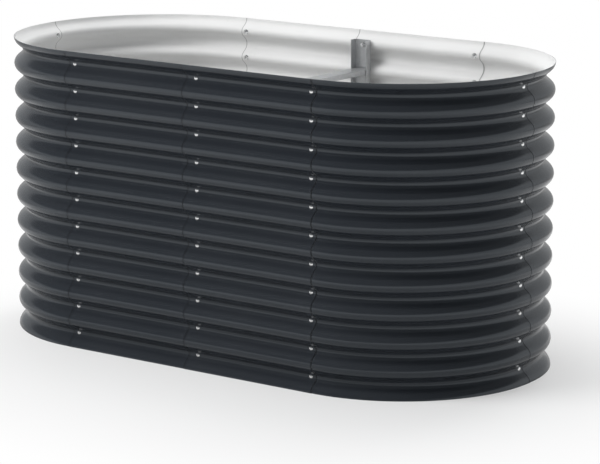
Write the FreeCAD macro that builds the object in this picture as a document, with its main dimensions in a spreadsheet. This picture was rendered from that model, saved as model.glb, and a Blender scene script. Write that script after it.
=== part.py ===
import FreeCAD, Part
import math
import os
import Sketcher
from FreeCAD import Placement, Rotation, Vector

# Raised garden bed: an open-ended oval wall of ribbed sheet steel, 160 x 80 x 81 cm.
# Four straight panels and four rolled corner panels lap at eight bolted seams, and two channel
# uprights at the middle seams carry the cross bars that keep the long sides from bulging.
# Millimetres. Origin on the ground in the middle of the bed, +X along it, +Z up.

doc = FreeCAD.newDocument("raised_garden_bed")

# ---------------------------------------------------------------- driving dimensions
dimensions = {
    # the oval, over the crests of the ribs
    "bed_length": 1600,
    "bed_width": 800,
    "corner_radius": 365,  # to the middle of the sheet in a valley
    "corner_turns": 5,  # a rolled corner is drawn as this many equal mitres
    # one rib course, from crest to crest
    "rib_pitch": 73.6,
    "rib_count": 11,
    "rib_depth": 24,
    "crest_flat": 16,
    "flank_angle": 52,
    # the sheet and its laps
    "sheet_gauge": 0.8,
    "lap_gap": 0.3,
    "corner_tail": 21.6,  # straight run from a rolled corner to its seam on the side
    "mid_seam_x": 22,
    "end_lap": 17,  # from a seam's bolts to the sheet's edge
    "mid_lap": 30,
    # coach bolts and flanged nuts
    "bolt_shank": 6,
    "bolt_clearance": 0.3,
    "head_across": 13,
    "head_crown": 6.4,
    "head_height": 3.6,
    "nut_flange": 13.4,
    "nut_across": 11.5,
    "nut_height": 6,
    # uprights
    "upright_width": 52,
    "upright_depth": 25,
    "upright_gauge": 2,
    "upright_bend": 3,
    "upright_end_gap": 21.8,  # left open at the ground and at the rim
    # cross bars
    "bar_height": 15,
    "bar_gauge": 1.5,
    "bar_side_gap": 0.5,
    "bar_course": 2,  # bolted in this valley from the top, and from the ground
}

dim = doc.addObject("Spreadsheet::Sheet", "dim")
for row, (word, number) in enumerate(dimensions.items(), start=1):
    dim.set(f"A{row}", word)
    dim.set(f"B{row}", str(number))
    dim.setAlias(f"B{row}", word)
doc.recompute()


def value(expression):
    """The number that an expression on the sheet gives."""
    return float(dim.evalExpression(expression))


# Lengths that several pieces share, as expressions on the sheet.
half_length = "(dim.bed_length / 2 - dim.rib_depth - dim.sheet_gauge / 2)"  # to the sheet in a valley
half_width = "(dim.bed_width / 2 - dim.rib_depth - dim.sheet_gauge / 2)"
corner_x = f"({half_length} - dim.corner_radius)"
corner_y = f"({half_width} - dim.corner_radius)"
end_seam_x = f"({corner_x} - dim.corner_tail)"
side_stub = "dim.corner_tail"  # from the start of a corner to its bolts
end_stub = corner_y
lap_step = "(dim.sheet_gauge + dim.lap_gap)"
valley_z = "dim.rib_pitch / 2"
courses = int(value("dim.rib_count"))
turns = int(value("dim.corner_turns"))
bar_rows = (int(value("dim.bar_course")) - 1, courses - int(value("dim.bar_course")))


# ---------------------------------------------------------------- sketching
def add_body(name):
    body = doc.addObject("PartDesign::Body", name)
    body.Label = name
    return body


def origin_item(body, role):
    return next(item for item in body.Origin.OriginFeatures if item.Role == role)


def add_sketch(body, name, role, offset=None):
    """A sketch on one of the body's own planes, moved along the plane's normal by offset."""
    sketch = body.newObject("Sketcher::SketchObject", f"{body.Name}_{name}")
    sketch.AttachmentSupport = (origin_item(body, role), [""])
    sketch.MapMode = "FlatFace"
    if offset:
        sketch.setExpression(".AttachmentOffset.Base.z", offset)
    return sketch


def draw_polyline(sketch, points, closed=True):
    """Lines through points that are pairs of expressions, each point bound to the sheet."""
    places = [Vector(value(across), value(up), 0) for across, up in points]
    lines = len(points) if closed else len(points) - 1
    for i in range(lines):
        sketch.addGeometry(Part.LineSegment(places[i], places[(i + 1) % len(places)]), False)
    for i in range(lines if closed else lines - 1):
        sketch.addConstraint(Sketcher.Constraint("Coincident", i, 2, (i + 1) % lines, 1))
    for i, point in enumerate(points):
        line, end = (i, 1) if i < lines else (i - 1, 2)
        for kind, axis, expression, number in (
            ("DistanceX", -2, point[0], places[i].x),
            ("DistanceY", -1, point[1], places[i].y),
        ):
            if expression == "0":
                sketch.addConstraint(Sketcher.Constraint("PointOnObject", line, end, axis))
            else:
                index = sketch.addConstraint(Sketcher.Constraint(kind, -1, 1, line, end, number))
                sketch.setExpression(f"Constraints[{index}]", expression)


def rectangle(left, right, bottom, top):
    return [(left, bottom), (right, bottom), (right, top), (left, top)]


def square_hole(across, up):
    """The hole round a bolt's square neck, about a point."""
    half = "(dim.bolt_shank / 2 + dim.bolt_clearance)"
    return rectangle(f"{across} - {half}", f"{across} + {half}", f"{up} - {half}", f"{up} + {half}")


def add_pad(body, name, sketch, length):
    pad = body.newObject("PartDesign::Pad", f"{body.Name}_{name}")
    pad.Profile = sketch
    pad.setExpression("Length", length)
    return pad


def add_pocket(body, name, sketch, reverse):
    """A cut right through, away from the sketch plane to the side that reverse picks."""
    pocket = body.newObject("PartDesign::Pocket", f"{body.Name}_{name}")
    pocket.Profile = sketch
    pocket.Type = "ThroughAll"
    pocket.Reversed = reverse
    return pocket


def repeat_courses(body, features):
    """The features again in every course, one rib pitch apart."""
    pattern = body.newObject("PartDesign::LinearPattern", f"{body.Name}_courses")
    pattern.Originals = features
    pattern.Direction = (origin_item(body, "Z_Axis"), [""])
    pattern.setExpression("Length", "(dim.rib_count - 1) * dim.rib_pitch")
    pattern.setExpression("Occurrences", "dim.rib_count")
    body.Tip = pattern
    return pattern


# ---------------------------------------------------------------- ribbed sheet
def sheet_side(valley_at, offset):
    """One side of a rib course from the lower crest up to the upper one, parallel to the sheet's
    middle line at an offset outwards. valley_at is the middle line's place in the valley."""
    crest = f"{valley_at} + dim.rib_depth + {offset}"
    shoulder = f"dim.crest_flat / 2 + {offset} * tan(dim.flank_angle / 2)"
    foot = f"{shoulder} + dim.rib_depth / tan(dim.flank_angle)"
    lower = [(crest, "0"), (crest, shoulder), (f"{valley_at} + {offset}", foot)]
    upper = [(across, f"dim.rib_pitch - ({up})") for across, up in reversed(lower)]
    return lower + upper


def rib_section(valley_at, level):
    """The closed outline of one course of sheet. Laps stack by level, each one sheet further out."""
    middle = f"{level} * {lap_step}"
    outside = sheet_side(valley_at, f"({middle} + dim.sheet_gauge / 2)")
    inside = sheet_side(valley_at, f"({middle} - dim.sheet_gauge / 2)")
    return outside + inside[::-1]


def add_straight_panel(name, level, at_front, left, left_seam, right_seam, right):
    """A straight panel from left to right along X, with a column of holes at each seam."""
    body = add_body(name)
    if at_front:  # the body is drawn for the back wall and turned half round
        left, right = f"-({right})", f"-({left})"
        left_seam, right_seam = f"-({right_seam})", f"-({left_seam})"
    section = add_sketch(body, "section", "YZ_Plane", left)
    draw_polyline(section, rib_section(half_width, level))
    sheet = add_pad(body, "course", section, f"{right} - ({left})")
    holes = []
    for side, seam in (("left", left_seam), ("right", right_seam)):
        sketch = add_sketch(body, f"{side}_hole", "XZ_Plane")
        draw_polyline(sketch, square_hole(seam, valley_z))
        holes.append(add_pocket(body, f"{side}_holes", sketch, False))
    repeat_courses(body, [sheet] + holes)
    if at_front:
        body.Placement = Placement(Vector(), Rotation(Vector(0, 0, 1), 180))
    return body


def add_corner_panel(name, level, quarter, first_stub, last_stub):
    """A rolled corner about the body's Z axis from +X to +Y, with a straight lap at each end,
    turned by so many quarters into its place."""
    body = add_body(name)
    first_end = f"({first_stub} + dim.end_lap)"
    last_end = f"({last_stub} + dim.end_lap)"
    half_turn = 45 / turns
    mitre_radius = f"dim.corner_radius / cos({half_turn})"
    route = [("dim.corner_radius", f"-{first_end}")]
    for k in range(turns):
        angle = (2 * k + 1) * half_turn
        route.append((f"{mitre_radius} * cos({angle})", f"{mitre_radius} * sin({angle})"))
    route.append((f"-{last_end}", "dim.corner_radius"))
    run = add_sketch(body, "run", "XY_Plane")
    draw_polyline(run, route, closed=False)
    section = add_sketch(body, "section", "XZ_Plane", first_end)
    draw_polyline(section, rib_section("dim.corner_radius", level))
    sheet = body.newObject("PartDesign::AdditivePipe", f"{name}_course")
    sheet.Profile = section
    sheet.Spine = (run, [])
    sheet.Mode = "Standard"
    sheet.Transition = "Right corner"
    first_hole = add_sketch(body, "first_hole", "YZ_Plane")
    draw_polyline(first_hole, square_hole(f"-{first_stub}", valley_z))
    last_hole = add_sketch(body, "last_hole", "XZ_Plane")
    draw_polyline(last_hole, square_hole(f"-{last_stub}", valley_z))
    holes = [
        add_pocket(body, "first_holes", first_hole, True),
        add_pocket(body, "last_holes", last_hole, False),
    ]
    repeat_courses(body, [sheet] + holes)
    to_right = quarter in (0, 3)
    to_back = quarter in (0, 1)
    body.setExpression(".Placement.Base.x", corner_x if to_right else f"-{corner_x}")
    body.setExpression(".Placement.Base.y", corner_y if to_back else f"-{corner_y}")
    body.Placement.Rotation = Rotation(Vector(0, 0, 1), 90 * quarter)
    return body


# ---------------------------------------------------------------- uprights and cross bars
def upright_face(level):
    """Distance of an upright's back from the bed's middle: against the valleys of the sheet that
    is innermost in its seam."""
    return f"({half_width} + {level} * {lap_step} - dim.sheet_gauge / 2)"


def add_upright(name, level, at_front):
    """A channel that stands open towards the bed's middle, bolted through its web."""
    body = add_body(name)
    seam = "-dim.mid_seam_x" if at_front else "dim.mid_seam_x"
    back = upright_face(level)
    left, right = f"{seam} - dim.upright_width / 2", f"{seam} + dim.upright_width / 2"
    tip = f"{back} - dim.upright_depth"
    section = add_sketch(body, "section", "XY_Plane", "dim.upright_end_gap")
    outline = [
        (left, tip),
        (f"{left} + dim.upright_gauge", tip),
        (f"{left} + dim.upright_gauge", f"{back} - dim.upright_gauge"),
        (f"{right} - dim.upright_gauge", f"{back} - dim.upright_gauge"),
        (f"{right} - dim.upright_gauge", tip),
        (right, tip),
        (right, back),
        (left, back),
    ]
    draw_polyline(section, outline)
    channel = add_pad(
        body, "channel", section, "dim.rib_count * dim.rib_pitch - 2 * dim.upright_end_gap"
    )
    doc.recompute()
    bends = [
        f"Edge{i}"
        for i, edge in enumerate(channel.Shape.Edges, start=1)
        if edge.BoundBox.ZLength > 1 and abs(edge.BoundBox.YMin - value(back)) < 0.01
    ]
    rounded = body.newObject("PartDesign::Fillet", f"{name}_bends")
    rounded.Base = (channel, bends)
    rounded.setExpression("Radius", "dim.upright_bend")
    sketch = add_sketch(body, "hole", "XZ_Plane")
    draw_polyline(sketch, square_hole(seam, valley_z))
    hole = add_pocket(body, "holes", sketch, False)
    repeat_courses(body, [hole])
    if at_front:
        body.Placement = Placement(Vector(), Rotation(Vector(0, 0, 1), 180))
    return body


def add_cross_bar(name, row, front_level, back_level):
    """A pressed bar, open below, between the two uprights: its closed ends stand against their webs
    and take the seam bolts of one course."""
    body = add_body(name)
    front = f"(dim.upright_gauge - {upright_face(front_level)})"
    back = f"({upright_face(back_level)} - dim.upright_gauge)"
    half = "(dim.upright_width / 2 - dim.upright_gauge - dim.bar_side_gap)"
    bolt_z = f"({row} + 0.5) * dim.rib_pitch"
    left, right = f"dim.mid_seam_x - {half}", f"dim.mid_seam_x + {half}"
    bottom = f"{bolt_z} - dim.bar_height / 2"
    outer = add_sketch(body, "outline", "XY_Plane", bottom)
    draw_polyline(outer, rectangle(left, right, front, back))
    add_pad(body, "block", outer, "dim.bar_height")
    inner = add_sketch(body, "hollow", "XY_Plane", f"{bottom} + dim.bar_height - dim.bar_gauge")
    draw_polyline(
        inner,
        rectangle(
            f"{left} + dim.bar_gauge",
            f"{right} - dim.bar_gauge",
            f"{front} + dim.bar_gauge",
            f"{back} - dim.bar_gauge",
        ),
    )
    add_pocket(body, "pressing", inner, False)
    for side, reverse in (("front", True), ("back", False)):
        sketch = add_sketch(body, f"{side}_hole", "XZ_Plane")
        draw_polyline(sketch, square_hole("dim.mid_seam_x", bolt_z))
        add_pocket(body, f"{side}_end_hole", sketch, reverse)
    return body


# ---------------------------------------------------------------- bolts and nuts
def flat_sided(start, across, height, end_across):
    """A six-sided cut pyramid along X about the axis Z = 0, from one width across its corners to
    another."""
    rings = []
    for x, width in ((start, across), (start + height, end_across)):
        angles = [math.radians(60 * k) for k in range(6)]
        rings.append([Vector(x, width / 2 * math.cos(a), width / 2 * math.sin(a)) for a in angles])
    first, last = rings
    outlines = [first, last]
    outlines += [[first[k - 1], first[k], last[k], last[k - 1]] for k in range(6)]
    faces = [Part.Face(Part.makePolygon(outline + outline[:1])) for outline in outlines]
    return Part.makeSolid(Part.makeShell(faces))


def add_fasteners(seam, place_x, place_y, angle, outer_level, inner_level, holds_upright):
    """The bolts of one seam and their nuts, a column of each. Along X outwards from the valley's
    middle line: the head sits on the outer sheet, the nut on the innermost piece."""
    shank = value("dim.bolt_shank")
    head_seat = value(f"{outer_level} * {lap_step} + dim.sheet_gauge / 2")
    sheet_face = value(f"{inner_level} * {lap_step} - dim.sheet_gauge / 2")
    bolts, nuts = [], []
    for row in range(courses):
        nut_seat = sheet_face
        if holds_upright:
            nut_seat -= value("dim.upright_gauge")
            if row in bar_rows:
                nut_seat -= value("dim.bar_gauge")
        lift = Vector(0, 0, value(f"({row} + 0.5) * dim.rib_pitch"))
        head = flat_sided(head_seat, value("dim.head_across"), value("dim.head_height"),
                          value("dim.head_crown"))
        neck = Part.makeBox(head_seat - nut_seat, shank, shank,
                            Vector(nut_seat, -shank / 2, -shank / 2))
        nut = flat_sided(nut_seat, value("dim.nut_flange"), -value("dim.nut_height"),
                         value("dim.nut_across"))
        bolts.append(head.fuse(neck).translated(lift))
        nuts.append(nut.translated(lift))
    place = Placement(Vector(value(place_x), value(place_y), 0), Rotation(Vector(0, 0, 1), angle))
    made = []
    for kind, solids in (("bolts", bolts), ("nuts", nuts)):
        group = doc.addObject("Part::Feature", f"{seam}_{kind}")
        group.Label = f"{seam}_{kind}"
        group.Shape = Part.makeCompound(solids)
        group.Placement = place
        made.append(group)
    return made


# ---------------------------------------------------------------- the bed
# How far out each panel lies in the laps, counted in sheets. Neighbours differ by one.
levels = {
    "front_left_corner_panel": 0,
    "front_left_side_panel": 1,
    "front_right_side_panel": 2,
    "front_right_corner_panel": 1,
    "back_right_corner_panel": 0,
    "back_right_side_panel": -1,
    "back_left_side_panel": 0,
    "back_left_corner_panel": 1,
}

left_seam, middle_seam, right_seam = f"-{end_seam_x}", "dim.mid_seam_x", end_seam_x
left_edge, right_edge = f"{left_seam} - dim.end_lap", f"{right_seam} + dim.end_lap"
pieces = []
for row, at_front in (("front", True), ("back", False)):
    name = f"{row}_left_side_panel"
    pieces.append(
        add_straight_panel(name, levels[name], at_front, left_edge, left_seam, middle_seam,
                           f"{middle_seam} + dim.mid_lap")
    )
    name = f"{row}_right_side_panel"
    pieces.append(
        add_straight_panel(name, levels[name], at_front, f"{middle_seam} - dim.mid_lap",
                           middle_seam, right_seam, right_edge)
    )
for quarter, corner in enumerate(("back_right", "back_left", "front_left", "front_right")):
    name = f"{corner}_corner_panel"
    stubs = (side_stub, end_stub) if quarter % 2 else (end_stub, side_stub)
    pieces.append(add_corner_panel(name, levels[name], quarter, *stubs))

# Each seam: its place, the way it faces, and the two panels that lap there.
seams = {
    "front_left_seam": (left_seam, f"-{half_width}", -90, "front_left_corner", "front_left_side"),
    "front_middle_seam": (middle_seam, f"-{half_width}", -90, "front_left_side", "front_right_side"),
    "front_right_seam": (right_seam, f"-{half_width}", -90, "front_right_side", "front_right_corner"),
    "right_end_seam": (half_length, "0", 0, "front_right_corner", "back_right_corner"),
    "back_right_seam": (right_seam, half_width, 90, "back_right_corner", "back_right_side"),
    "back_middle_seam": (middle_seam, half_width, 90, "back_right_side", "back_left_side"),
    "back_left_seam": (left_seam, half_width, 90, "back_left_side", "back_left_corner"),
    "left_end_seam": (f"-{half_length}", "0", 180, "back_left_corner", "front_left_corner"),
}
inner_levels = {}
for seam, (place_x, place_y, angle, *lapped) in seams.items():
    lap_levels = sorted(levels[f"{panel}_panel"] for panel in lapped)
    inner_levels[seam] = lap_levels[0]
    pieces += add_fasteners(seam, place_x, place_y, angle, lap_levels[1], lap_levels[0],
                            "middle" in seam)

front_inner, back_inner = inner_levels["front_middle_seam"], inner_levels["back_middle_seam"]
pieces.append(add_upright("front_upright", front_inner, True))
pieces.append(add_upright("back_upright", back_inner, False))
for name, row in zip(("lower_cross_bar", "upper_cross_bar"), sorted(bar_rows)):
    pieces.append(add_cross_bar(name, row, front_inner, back_inner))

doc.recompute()

# ---------------------------------------------------------------- checks and files
for item in doc.Objects:
    if {"Invalid", "Error"} & set(item.State):
        raise SystemExit(f"{item.Name} failed: {item.State}")
for piece in pieces:
    if piece.Shape.isNull() or not piece.Shape.isValid():
        raise SystemExit(f"{piece.Label} has no valid shape")

os.makedirs("parts", exist_ok=True)
for piece in pieces:
    piece.Shape.exportStep(f"parts/{piece.Label}.step")
    print(f"{piece.Label}: {len(piece.Shape.Solids)} solid(s), {piece.Shape.Volume:.0f} mm3")
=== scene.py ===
import math

import bmesh
import bpy
from mathutils import Matrix, Vector


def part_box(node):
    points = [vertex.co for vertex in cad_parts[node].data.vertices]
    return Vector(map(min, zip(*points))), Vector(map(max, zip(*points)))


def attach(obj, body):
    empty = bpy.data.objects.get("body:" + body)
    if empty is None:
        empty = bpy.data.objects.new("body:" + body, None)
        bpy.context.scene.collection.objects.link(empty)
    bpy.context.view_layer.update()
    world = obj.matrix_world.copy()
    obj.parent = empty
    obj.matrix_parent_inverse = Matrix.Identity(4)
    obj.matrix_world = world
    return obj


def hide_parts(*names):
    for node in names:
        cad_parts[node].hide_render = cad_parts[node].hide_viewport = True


# A raised garden bed in metres: ground at z = 0, x along the bed, y from front to back.
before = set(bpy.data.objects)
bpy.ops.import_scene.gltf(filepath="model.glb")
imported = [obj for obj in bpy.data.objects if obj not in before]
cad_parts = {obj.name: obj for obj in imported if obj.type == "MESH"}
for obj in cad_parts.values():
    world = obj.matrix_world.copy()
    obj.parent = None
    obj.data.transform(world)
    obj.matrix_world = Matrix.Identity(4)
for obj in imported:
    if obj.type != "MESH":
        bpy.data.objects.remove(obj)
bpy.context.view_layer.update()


# Camera and light

view = {"place": (4.4815, -6.0134, 1.9039), "turn": 36.22, "tilt": 12.072, "lens": 169.18}

camera = bpy.data.objects.new("camera", bpy.data.cameras.new("camera"))
camera.location = view["place"]
camera.rotation_euler = (math.radians(90 - view["tilt"]), 0, math.radians(view["turn"]))
camera.data.sensor_width = 36
camera.data.lens = view["lens"]
camera.data.clip_end = 200
bpy.context.collection.objects.link(camera)
bpy.context.scene.camera = camera
bpy.context.scene.view_settings.view_transform = "Standard"


def softBox(name, place, target, size, watts):
    lamp = bpy.data.lights.new(name, "AREA")
    lamp.shape, lamp.size, lamp.energy = "DISK", size, watts
    box = bpy.data.objects.new(name, lamp)
    box.location = place
    box.rotation_euler = (Vector(target) - Vector(place)).to_track_quat("-Z", "Y").to_euler()
    box.visible_glossy = False  # the satin ribs mirror the floor and the backdrop, not the lamps
    bpy.context.collection.objects.link(box)


lights = {  # place, aim, width and watts
    "overhead": ((-0.6, 0.2, 6.3), (0, 0, 0.3), 4.5, 150),
    "frontLeft": ((-3.6, -4.4, 5.5), (0, 0, 0.4), 4.5, 405),
    "behind": ((-0.4, 4.8, 4.2), (0, 0, 0.4), 3.0, 140),
}
for name, settings in lights.items():
    softBox(name, *settings)


# Shader graphs


class Link:  # an output socket: sums on it add Math nodes
    def __init__(self, graph, socket):
        self.graph, self.socket = graph, socket

    def __add__(self, other):
        return self.graph.math("ADD", self, other)

    def __sub__(self, other):
        return self.graph.math("SUBTRACT", self, other)

    def __rsub__(self, other):
        return self.graph.math("SUBTRACT", other, self)

    def __mul__(self, other):
        return self.graph.math("MULTIPLY", self, other)

    __radd__ = __add__
    __rmul__ = __mul__


class Graph:  # a node tree that is filled one node at a time
    def __init__(self, tree):
        self.tree = tree
        tree.nodes.clear()

    def add(self, kind, settings=None, inputs=None, output=0):
        node = self.tree.nodes.new(kind)
        for name, value in (settings or {}).items():
            setattr(node, name, value)
        for key, value in (inputs or {}).items():
            if isinstance(value, Link):
                self.tree.links.new(value.socket, node.inputs[key])
            else:
                node.inputs[key].default_value = value
        return Link(self, node.outputs[output]) if node.outputs else None

    def math(self, operation, first, second=0.0):
        return self.add("ShaderNodeMath", {"operation": operation}, {0: first, 1: second})

    def axis(self, coords, name):
        return self.add("ShaderNodeSeparateXYZ", None, {0: coords}, name)

    def noise(self, coords, scale, detail=2.0):
        return self.add("ShaderNodeTexNoise", None, {"Vector": coords, "Scale": scale, "Detail": detail})

    def spread(self, value, low, high, start=0.0, end=1.0):  # low to high becomes start to end
        inputs = {"Value": value, "From Min": low, "From Max": high, "To Min": start, "To Max": end}
        return self.add("ShaderNodeMapRange", {"interpolation_type": "SMOOTHSTEP"}, inputs)

    def mix(self, first, second, factor):
        return self.add("ShaderNodeMix", {"data_type": "RGBA"}, {0: factor, 6: first, 7: second}, 2)

    def hem(self):  # 1 along the two ends of a sheet, where it laps its neighbours
        return self.spread(self.add("ShaderNodeAttribute", {"attribute_name": "hem"}, output="Fac"), 0.1, 0.5)

    def bump(self, value, distance):
        return self.add("ShaderNodeBump", None, {"Height": value, "Distance": distance})

    def finish(self, inputs):
        shader = self.add("ShaderNodeBsdfPrincipled", None, inputs)
        self.add("ShaderNodeOutputMaterial", None, {"Surface": shader})


def newMaterial(name):
    material = bpy.data.materials.new(name)
    material.use_nodes = True
    graph = Graph(material.node_tree)
    return material, graph, graph.add("ShaderNodeTexCoord", output="Object")


# Materials

paint = {
    "tone": (0.0215, 0.0250, 0.0310, 1),
    "paleTone": (0.0260, 0.0295, 0.0355, 1),
    "rubbed": (0.085, 0.088, 0.093, 1),
    # painted shadow: the dark line along each lap
    "lapShadow": (0.006, 0.006, 0.007, 1),
    "sheen": (0.86, 0.94, 1.0, 1),
    "roughness": (0.15, 0.20),
    "lapShade": 0.9,
    "lapRoughness": 0.7,  # added to the roughness in a lap
    "crestRub": 0.12,
    "edgeRub": 0.3,
    "edgeBand": 0.004,
    "cloudScale": 2.4,
    "smearScale": 17.0,
    "gritScale": 240.0,
    "peelScale": 260,
    "peelDepth": 0.000004,
}


def paintMaterial(pitch, rimHeight):  # satin anthracite powder coat
    material, graph, coords = newMaterial("anthracitePaint")
    cloud = graph.noise(coords, paint["cloudScale"], 4.0)
    smear = graph.noise(coords, paint["smearScale"], 3.0)
    grit = graph.noise(coords, paint["gritScale"], 3.0)
    peel = graph.noise(coords, paint["peelScale"])
    z = graph.axis(coords, "Z")
    crest = graph.math("COSINE", z * (2 * math.pi / pitch))
    crestRub = graph.spread(crest, 0.93, 1.0) * graph.spread(smear * 0.5 + grit * 0.5, 0.56, 0.72)
    fromEdge = graph.math("PINGPONG", z, rimHeight / 2)  # from the ground or the rim
    edgeRub = graph.spread(fromEdge, 0.0, paint["edgeBand"], 1.0, 0.0) * graph.spread(smear, 0.4, 0.7)
    tone = graph.mix(paint["tone"], paint["paleTone"], graph.spread(cloud, 0.3, 0.75))
    rub = crestRub * paint["crestRub"] + edgeRub * paint["edgeRub"]
    tone = graph.mix(tone, paint["rubbed"], rub)
    roughness = graph.spread(cloud * 0.5 + smear * 0.5, 0.3, 0.7, *paint["roughness"])
    hem = graph.hem()  # rougher in the lap, and darker there with a painted shadow along the lap's edge
    graph.finish({
        "Base Color": graph.mix(tone, paint["lapShadow"], hem * paint["lapShade"]),
        "Roughness": roughness + hem * paint["lapRoughness"],
        "IOR": 1.54,
        "Specular Tint": paint["sheen"],
        "Normal": graph.bump(peel, paint["peelDepth"]),
    })
    return material


lining = {
    "tone": (0.76, 0.76, 0.755, 1),
    "paleTone": (0.82, 0.82, 0.815, 1),
    "scuff": (0.55, 0.55, 0.54, 1),
    # painted shadow: the grey line along each lap inside
    "lapShadow": (0.30, 0.30, 0.30, 1),
    "lapShade": 0.8,
    "scuffShare": 0.18,
    "roughness": (0.38, 0.52),
    "cloudScale": 3.1,
    "scuffScale": 60.0,
    "grainScale": 600.0,
    "grainDepth": 0.00002,
}


def liningMaterial():  # off-white coat on the inner side of the sheet
    material, graph, coords = newMaterial("whiteLining")
    cloud = graph.noise(coords, lining["cloudScale"], 4.0)
    scuff = graph.spread(graph.noise(coords, lining["scuffScale"], 5.0), 0.66, 0.78)
    tone = graph.mix(lining["tone"], lining["paleTone"], graph.spread(cloud, 0.3, 0.7))
    tone = graph.mix(tone, lining["scuff"], scuff * lining["scuffShare"])
    graph.finish({
        # painted shade along the laps
        "Base Color": graph.mix(tone, lining["lapShadow"], graph.hem() * lining["lapShade"]),
        "Roughness": graph.spread(cloud, 0.3, 0.7, *lining["roughness"]),
        "Normal": graph.bump(graph.noise(coords, lining["grainScale"]), lining["grainDepth"]),
    })
    return material


bareEdge = {
    "bright": (0.62, 0.63, 0.65, 1),
    "dull": (0.36, 0.37, 0.38, 1),
    "metallic": 0.8,
    "roughness": (0.35, 0.55),
    "streakScale": 150.0,
}


def edgeMaterial():  # the sheet's cut edge, zinc coated
    material, graph, coords = newMaterial("cutEdge")
    streak = graph.noise(coords, bareEdge["streakScale"], 3.0)
    graph.finish({
        "Base Color": graph.mix(bareEdge["dull"], bareEdge["bright"], graph.spread(streak, 0.35, 0.7)),
        "Metallic": bareEdge["metallic"],
        "Roughness": graph.spread(streak, 0.3, 0.7, *bareEdge["roughness"]),
    })
    return material


galvanised = {
    "light": (0.66, 0.67, 0.68, 1),
    "dark": (0.50, 0.51, 0.52, 1),
    "metallic": 0.7,
    "roughness": (0.34, 0.50),
    "spangleScale": 130,
    "cloudScale": 9.0,
    "grainScale": 300.0,
    "grainDepth": 0.00004,
}


def galvanisedMaterial():  # hot-dip zinc with fine crystals
    material, graph, coords = newMaterial("galvanisedSteel")
    scale = galvanised["spangleScale"]
    spangle = graph.add("ShaderNodeTexVoronoi", None, {"Vector": coords, "Scale": scale}, "Color")
    grey = graph.add("ShaderNodeRGBToBW", None, {0: spangle})
    cloud = graph.noise(coords, galvanised["cloudScale"], 3.0)
    grain = graph.noise(coords, galvanised["grainScale"])
    tone = graph.mix(galvanised["dark"], galvanised["light"], grey * 0.6 + cloud * 0.4)
    graph.finish({
        "Base Color": tone,
        "Metallic": galvanised["metallic"],
        "Roughness": graph.spread(grey, 0.0, 1.0, *galvanised["roughness"]),
        "Normal": graph.bump(grey * 0.4 + grain, galvanised["grainDepth"]),
    })
    return material


zinc = {
    "bright": (0.90, 0.905, 0.91, 1),
    "worn": (0.72, 0.72, 0.70, 1),
    "roughness": (0.2, 0.42),
    "stainScale": 170.0,
    "grainScale": 1500.0,
    "grainDepth": 0.00001,
}


def zincMaterial():  # bright plating on bolts and nuts
    material, graph, coords = newMaterial("zincPlate")
    stain = graph.spread(graph.noise(coords, zinc["stainScale"], 4.0), 0.5, 0.75)
    graph.finish({
        "Base Color": graph.mix(zinc["bright"], zinc["worn"], stain),
        "Metallic": 1.0,
        "Roughness": graph.spread(stain, 0.0, 1.0, *zinc["roughness"]),
        "Normal": graph.bump(graph.noise(coords, zinc["grainScale"]), zinc["grainDepth"]),
    })
    return material


floorLook = {
    "halfSpan": 60,
    "tone": (0.80, 0.80, 0.80, 1),
    "nearGlow": 0.40,  # how much of the plain white there is close to the bed
    "openAt": 0.75,  # how far out it is all plain white
    # the oval from which that is measured: half its flat, its radius, and how far forward and right it is
    "halfFlat": 0.22,
    "radius": 0.4,
    "forward": 0.18,
    "aside": 0.16,
}
mirrored = {  # the floor as the ribs mirror it: painted shadow near the bed, darker behind it to the left
    "near": (0.50, 0.50, 0.50, 1),
    "nearReach": 1.2,
    "behind": (0.50, 0.50, 0.50, 1),
    "behindFrom": 1.3,
    "behindTo": 2.8,
    "leftShare": 0.9,
}
white = (1.0, 1.0, 1.0, 1)


def floorMaterial():  # white sweep: round the bed its shadows show, further off it is plain white
    material, graph, coords = newMaterial("whiteFloor")
    right, back = graph.axis(coords, "X"), graph.axis(coords, "Y")
    pastFlat = graph.math("ABSOLUTE", right - floorLook["aside"]) - floorLook["halfFlat"]
    pastFlat = graph.math("MAXIMUM", pastFlat, 0.0)
    ahead = back + floorLook["forward"]
    away = graph.math("SQRT", pastFlat * pastFlat + ahead * ahead) - floorLook["radius"]
    gloss = graph.add("ShaderNodeLightPath", output="Is Glossy Ray")
    gloss = gloss + graph.add("ShaderNodeLightPath", output="Is Transmission Ray")
    seen = graph.add("ShaderNodeLightPath", output="Is Camera Ray")
    # painted shadow: the mirrored floor is darker near the bed
    tone = graph.mix(mirrored["near"], white, graph.spread(away, 0.0, mirrored["nearReach"]))
    backLeft = back - right * mirrored["leftShare"]
    backLeft = graph.spread(backLeft, mirrored["behindFrom"], mirrored["behindTo"])
    tone = graph.mix(tone, mirrored["behind"], backLeft)
    shown = graph.spread(away, 0.0, floorLook["openAt"], floorLook["nearGlow"], 1.0)
    matte = graph.add("ShaderNodeBsdfDiffuse", None, {"Color": floorLook["tone"]})
    plain = graph.add("ShaderNodeEmission", None, {"Color": graph.mix(tone, white, seen)})
    both = graph.add("ShaderNodeMixShader", None, {0: seen * shown + gloss, 1: matte, 2: plain})
    graph.add("ShaderNodeOutputMaterial", None, {"Surface": both})
    return material


studio = {
    "pale": (0.85, 0.86, 0.87, 1),
    "behind": (0.50, 0.51, 0.52, 1),
    "behindFrom": 0.3,
    "behindTo": 1.1,
    "leftShare": 0.9,
    "dim": (0.17, 0.175, 0.18, 1),
    "paleUpTo": 0.25,
    "dimFrom": 0.37,
    "lean": 0.25,  # how much higher the pale part stands behind the bed, and lower in front of it
}


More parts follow.
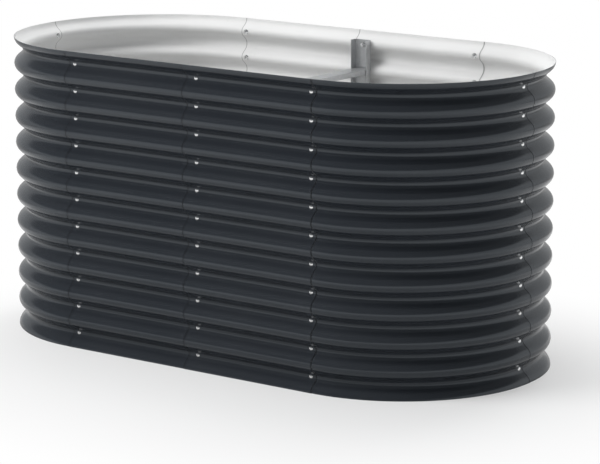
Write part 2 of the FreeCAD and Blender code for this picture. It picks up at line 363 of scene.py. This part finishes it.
def lightStudio():  # pale low all round, greyer behind the bed to the left, and dim above
    world = bpy.data.worlds.new("studio")
    world.use_nodes = True
    bpy.context.scene.world = world
    graph = Graph(world.node_tree)
    towards = graph.add("ShaderNodeTexCoord", output="Generated")
    right, back, up = (graph.axis(towards, name) for name in "XYZ")
    backLeft = back - right * studio["leftShare"]
    backLeft = graph.spread(backLeft, studio["behindFrom"], studio["behindTo"])
    pale = graph.mix(studio["pale"], studio["behind"], backLeft)
    low = graph.spread(up - back * studio["lean"], studio["paleUpTo"], studio["dimFrom"], 1.0, 0.0)
    tone = graph.mix(studio["dim"], pale, low)
    tone = graph.mix(tone, white, graph.add("ShaderNodeLightPath", output="Is Camera Ray"))
    sky = graph.add("ShaderNodeBackground", None, {"Color": tone})
    graph.add("ShaderNodeOutputWorld", None, {"Surface": sky})


lightStudio()
print("camera and light ready")


# Working from the frame

body = "root"
nearLow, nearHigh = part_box("front_left_corner_panel")
halfLength, halfWidth, rimHeight = -nearLow.x, -nearLow.y, nearHigh.z

rib = {"courses": 11, "depth": 0.024, "flankAngle": 51, "roundSteps": 6, "valleyShare": 0.42}
rib["pitch"] = rimHeight / rib["courses"]
sheet = {"gauge": 0.0008, "cornerSteps": 30, "crestRadius": 0.389, "hem": 0.0035}
cornerX = halfLength - sheet["gauge"] / 2 - sheet["crestRadius"]
cornerY = halfWidth - sheet["gauge"] / 2 - sheet["crestRadius"]

anthracite = paintMaterial(rib["pitch"], rimHeight)
whiteLining = liningMaterial()
cutEdge = edgeMaterial()
galvanisedSteel = galvanisedMaterial()
zincPlate = zincMaterial()


def addPiece(bm, name, materials, nodes, sharpAngle=35):
    mesh = bpy.data.meshes.new(name)
    bm.to_mesh(mesh)
    bm.free()
    mesh.shade_smooth()
    if sharpAngle:
        mesh.set_sharp_from_angle(angle=math.radians(sharpAngle))
    for material in materials:
        mesh.materials.append(material)
    piece = bpy.data.objects.new(name, mesh)
    bpy.context.collection.objects.link(piece)
    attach(piece, body)
    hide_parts(*nodes)
    return piece


def thicken(piece, gauge):  # half of the gauge to each side
    wall = piece.modifiers.new("gauge", "SOLIDIFY")
    wall.thickness, wall.offset, wall.use_even_offset = gauge, 0, True
    return wall


# Ribbed panels


def ribLine(bm, crestRadius):  # the rib's middle line as a chain of edges over +X, ground to rim
    half, slope = rib["pitch"] / 2, math.radians(rib["flankAngle"])
    rise = half * math.tan(slope)  # from a valley's fold to a crest's, before they are rounded
    # the rounds take off what the folds have over the rib's depth, the valley's less than the crest's
    valleyCut = (rise - rib["depth"]) * rib["valleyShare"]
    crestCut = rise - rib["depth"] - valleyCut
    rows = 2 * rib["courses"] + 2
    bm.verts.layers.float.new("hem")
    bmesh.ops.create_grid(bm, x_segments=1, y_segments=rows, size=0.5)
    for vertex in bm.verts:
        row = round((vertex.co.y + 0.5) * rows)
        fold = crestRadius + crestCut - (0 if row % 2 else rise)
        vertex.co = (fold, vertex.co.x + 0.5, (row - 1) * half)
    bm.normal_update()
    middle = crestRadius + crestCut - rise / 2
    folds = [e for e in bm.edges if not e.is_boundary and abs(e.verts[0].co.z - e.verts[1].co.z) < 1e-6]
    crests = [edge for edge in folds if edge.verts[0].co.x > middle]
    valleys = [edge for edge in folds if edge.verts[0].co.x < middle]
    for edges, cut in ((crests, crestCut), (valleys, valleyCut)):
        start = cut / ((2 - math.sqrt(2)) * math.sin(slope))  # how far from its fold the round starts
        bmesh.ops.bevel(
            bm, geom=edges, affect="EDGES", offset=start, offset_type="OFFSET",
            segments=rib["roundSteps"], profile=0.5, material=-1,
        )
        bm.normal_update()
    for height, side in ((0, -1), (rimHeight, 1)):
        bmesh.ops.bisect_plane(
            bm, geom=bm.verts[:] + bm.edges[:] + bm.faces[:], plane_co=(0, 0, height),
            plane_no=(0, 0, side), clear_outer=True, dist=1e-5,
        )
    # the ribs were a strip 1 m wide so far, and only the edge at y = 0 stays
    bmesh.ops.delete(bm, geom=[v for v in bm.verts if v.co.y > 0.5], context="VERTS")
    return bm.edges[:]


def draw(bm, edges, move):  # the chain of edges drawn out straight, and the chain at its new end
    made = bmesh.ops.extrude_edge_only(bm, edges=edges)["geom"]
    ends = [item for item in made if isinstance(item, bmesh.types.BMVert)]
    bmesh.ops.translate(bm, verts=ends, vec=move)
    return [e for e in made if isinstance(e, bmesh.types.BMEdge) and all(v in ends for v in e.verts)]


def finishSheet(bm, name, node, outward):  # its faces outwards, its hems marked and its gauge added
    bm.normal_update()
    if sum((face.normal * face.calc_area() for face in bm.faces), Vector()).dot(outward) < 0:
        bmesh.ops.reverse_faces(bm, faces=bm.faces[:])
    hem = bm.verts.layers.float["hem"]
    for vertex in bm.verts:
        vertex[hem] = 0
    for edge in bm.edges:
        edge.smooth = not edge.is_boundary
        first, last = edge.verts
        if edge.is_boundary and abs(first.co.z - last.co.z) > 1e-5:  # not along the ground or the rim
            first[hem] = last[hem] = 1
    coats = (anthracite, whiteLining, cutEdge)
    piece = addPiece(bm, name, coats, [node], sharpAngle=None)
    wall = thicken(piece, sheet["gauge"])
    wall.material_offset, wall.material_offset_rim = 1, 2


def sidePanel(name, node, facing):  # facing is -1 in front and 1 behind
    low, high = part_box(node)
    crest = max(abs(low.y), abs(high.y)) - sheet["gauge"] / 2
    bm = bmesh.new()
    line = ribLine(bm, crest)
    bmesh.ops.rotate(bm, verts=bm.verts[:], matrix=Matrix.Rotation(math.radians(90 * facing), 3, "Z"))
    bmesh.ops.translate(bm, verts=bm.verts[:], vec=(low.x, 0, 0))
    for step in (sheet["hem"], high.x - low.x - 2 * sheet["hem"], sheet["hem"]):
        line = draw(bm, line, (step, 0, 0))
    finishSheet(bm, name, node, Vector((0, facing, 0)))


def cornerPanel(name, node, quarter):  # a quarter round about the corner's centre, between two laps
    low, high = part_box(node)
    # the round is a sheet and a gap larger where the panel laps outside its neighbours
    crest = sheet["crestRadius"] + max(abs(low.x), abs(high.x)) - halfLength
    # how far the laps reach back past the round, at the bed's end and at its side
    endLap = min(abs(low.y), abs(high.y)) + cornerY
    sideLap = cornerX - min(abs(low.x), abs(high.x))
    first, last = (sideLap, endLap) if quarter % 2 else (endLap, sideLap)
    bm = bmesh.new()
    line = ribLine(bm, crest)
    bmesh.ops.translate(bm, verts=bm.verts[:], vec=(0, -first, 0))
    for step in (sheet["hem"], first - sheet["hem"]):
        line = draw(bm, line, (0, step, 0))
    spun = bmesh.ops.spin(
        bm, geom=line, cent=(0, 0, 0), axis=(0, 0, 1), angle=math.pi / 2, steps=sheet["cornerSteps"],
        use_merge=False,
    )
    line = [item for item in spun["geom_last"] if isinstance(item, bmesh.types.BMEdge)]
    for step in (last - sheet["hem"], sheet["hem"]):
        line = draw(bm, line, (-step, 0, 0))
    bmesh.ops.remove_doubles(bm, verts=bm.verts[:], dist=1e-6)
    turn = Matrix.Rotation(math.radians(90 * quarter), 3, "Z")
    bmesh.ops.rotate(bm, verts=bm.verts[:], matrix=turn)
    toRight, toBack = quarter in (0, 3), quarter in (0, 1)
    centre = (cornerX if toRight else -cornerX, cornerY if toBack else -cornerY, 0)
    bmesh.ops.translate(bm, verts=bm.verts[:], vec=centre)
    finishSheet(bm, name, node, turn @ Vector((1, 0, 0)))


for row, facing in (("front", -1), ("back", 1)):
    for side in ("left", "right"):
        sidePanel(f"{row}{side.title()}SidePanel", f"{row}_{side}_side_panel", facing)
for quarter, corner in enumerate(("back_right", "back_left", "front_left", "front_right")):
    row, side = corner.split("_")
    cornerPanel(f"{row}{side.title()}CornerPanel", f"{corner}_corner_panel", quarter)
print("panels ready")


# Bolts and nuts

bolt = {
    "headRadius": 0.0064,
    "headHeight": 0.0036,
    "skirt": 0.0005,
    "headSides": 20,
    "domeRings": 18,
    "shankRadius": 0.003,
    "tipRadius": 0.00258,
    "shankSides": 12,
    "threadEnd": 0.009,  # how far the shank goes past the nut's seat
}
nut = {
    "flangeRadius": 0.0074,
    "flangeHeight": 0.0016,
    "flangeSides": 20,
    "hexRadius": 0.0058,
    "hexBevel": 0.0005,
    "height": 0.006,
}


def overX(x):  # turns a shape from +Z to +X and moves it out to x
    return Matrix.Translation((x, 0, 0)) @ Matrix.Rotation(math.pi / 2, 4, "Y")


def addHead(bm, seat):  # a domed head over +X
    dome = (bolt["headRadius"] ** 2 + bolt["headHeight"] ** 2) / (2 * bolt["headHeight"])
    bmesh.ops.create_uvsphere(
        bm, u_segments=bolt["headSides"], v_segments=bolt["domeRings"], radius=dome
    )
    bmesh.ops.bisect_plane(
        bm, geom=bm.verts[:] + bm.edges[:] + bm.faces[:],
        plane_co=(0, 0, dome - bolt["headHeight"] + bolt["skirt"]), plane_no=(0, 0, -1), clear_outer=True,
    )
    rim = [e for e in bm.edges if e.is_boundary]
    made = bmesh.ops.extrude_edge_only(bm, edges=rim)["geom"]
    bmesh.ops.translate(
        bm, verts=[v for v in made if isinstance(v, bmesh.types.BMVert)], vec=(0, 0, -bolt["skirt"])
    )
    bmesh.ops.holes_fill(bm, edges=[e for e in bm.edges if e.is_boundary], sides=0)
    bmesh.ops.translate(bm, verts=bm.verts[:], vec=(0, 0, bolt["headHeight"] - dome))
    bmesh.ops.transform(bm, verts=bm.verts[:], matrix=overX(seat))


def boltShape(headSeat, nutSeat):  # one bolt over +X, its threaded end past the nut
    bm = bmesh.new()
    addHead(bm, headSeat)
    tip = nutSeat - bolt["threadEnd"]
    bmesh.ops.create_cone(
        bm, cap_ends=True, segments=bolt["shankSides"], radius1=bolt["tipRadius"],
        radius2=bolt["shankRadius"], depth=headSeat - tip, matrix=overX((headSeat + tip) / 2),
    )
    return bm


def nutShape(seat):  # one flanged nut over +X, its flange against the seat
    bm = bmesh.new()
    bmesh.ops.create_cone(
        bm, cap_ends=True, segments=nut["flangeSides"], radius1=nut["hexRadius"],
        radius2=nut["flangeRadius"], depth=nut["flangeHeight"], matrix=overX(seat - nut["flangeHeight"] / 2),
    )
    middle = seat - nut["height"] / 2
    hexagon = bmesh.ops.create_cone(
        bm, cap_ends=True, segments=6, radius1=nut["hexRadius"], radius2=nut["hexRadius"],
        depth=nut["height"], matrix=overX(middle),
    )
    outer = {e for v in hexagon["verts"] for e in v.link_edges if v.co.x < middle}
    bmesh.ops.bevel(
        bm, geom=list(outer), affect="EDGES", offset=nut["hexBevel"], segments=1, profile=0.5, material=-1
    )
    return bm


def column(shapes, x, y, direction):  # one shape in every course, turned to the seam and moved there
    turn = Matrix.Rotation(math.atan2(direction[1], direction[0]), 4, "Z")
    whole = bmesh.new()
    for row, shape in enumerate(shapes):
        shape.transform(Matrix.Translation((x, y, (row + 0.5) * rib["pitch"])) @ turn)
        mesh = bpy.data.meshes.new("part")
        shape.to_mesh(mesh)
        shape.free()
        whole.from_mesh(mesh)
        bpy.data.meshes.remove(mesh)
    return whole


seams = {
    "frontLeft": (0, -1), "frontMiddle": (0, -1), "frontRight": (0, -1), "rightEnd": (1, 0),
    "backRight": (0, 1), "backMiddle": (0, 1), "backLeft": (0, 1), "leftEnd": (-1, 0),
}
barRows = (1, rib["courses"] - 2)
upright = {"gauge": 0.002, "bend": 0.002, "bendSteps": 4}
crossBar = {"gauge": 0.0015, "bend": 0.0018, "bendSteps": 4}


def fasten(seam, direction):  # a seam's bolts and nuts, where its nodes have them
    node = "".join("_" + c.lower() if c.isupper() else c for c in seam) + "_seam"
    low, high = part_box(f"{node}_bolts")
    middle, outward = (low + high) / 2, Vector((*direction, 0))
    reach = [corner.dot(outward) for corner in (low, high)]
    headSeat, nutSeat = max(reach) - bolt["headHeight"], min(reach)
    x, y = (0, middle.y) if direction[0] else (middle.x, 0)
    bolts, nuts = [], []
    for row in range(rib["courses"]):
        # at a middle seam the nuts of the cross bars' rows stand a bar's wall further in
        seat = nutSeat + crossBar["gauge"] if "Middle" in seam and row not in barRows else nutSeat
        bolts.append(boltShape(headSeat, seat))
        nuts.append(nutShape(seat))
    for shapes, kind in ((bolts, "bolts"), (nuts, "nuts")):
        whole = column(shapes, x, y, direction)
        addPiece(whole, f"{seam}Seam{kind.title()}", [zincPlate], [f"{node}_{kind}"])


for seam, direction in seams.items():
    fasten(seam, direction)
print("bolts and nuts ready")


# Uprights and cross bars

above, below, inFront, behind = (0, 0, 1), (0, 0, -1), (0, -1, 0), (0, 1, 0)


def pressedPiece(name, node, look, openSides):  # the node's box without its open sides, folded from sheet
    low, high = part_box(node)
    size = Matrix.Diagonal((high - low - Vector((look["gauge"],) * 3)).to_4d())
    bm = bmesh.new()
    bmesh.ops.create_cube(bm, size=1, matrix=Matrix.Translation((low + high) / 2) @ size)
    bm.normal_update()
    away = [face for face in bm.faces if any(face.normal.dot(Vector(side)) > 0.9 for side in openSides)]
    bmesh.ops.delete(bm, geom=away, context="FACES")
    bmesh.ops.bevel(
        bm, geom=[edge for edge in bm.edges if not edge.is_boundary], affect="EDGES",
        offset=look["bend"], segments=look["bendSteps"], profile=0.5, material=-1,
    )
    for edge in bm.edges:
        edge.smooth = not edge.is_boundary
    piece = addPiece(bm, name, [galvanisedSteel], [node], sharpAngle=None)
    thicken(piece, look["gauge"])


pressedPiece("frontUpright", "front_upright", upright, (above, below, behind))
pressedPiece("backUpright", "back_upright", upright, (above, below, inFront))
for level in ("lower", "upper"):
    pressedPiece(f"{level}CrossBar", f"{level}_cross_bar", crossBar, (below,))
print("uprights and cross bars ready")


# Floor

bm = bmesh.new()
bmesh.ops.create_grid(bm, x_segments=1, y_segments=1, size=floorLook["halfSpan"])
floorMesh = bpy.data.meshes.new("floor")
bm.to_mesh(floorMesh)
bm.free()
floorMesh.materials.append(floorMaterial())
floor = bpy.data.objects.new("floor", floorMesh)
bpy.context.collection.objects.link(floor)

print("floor ready")
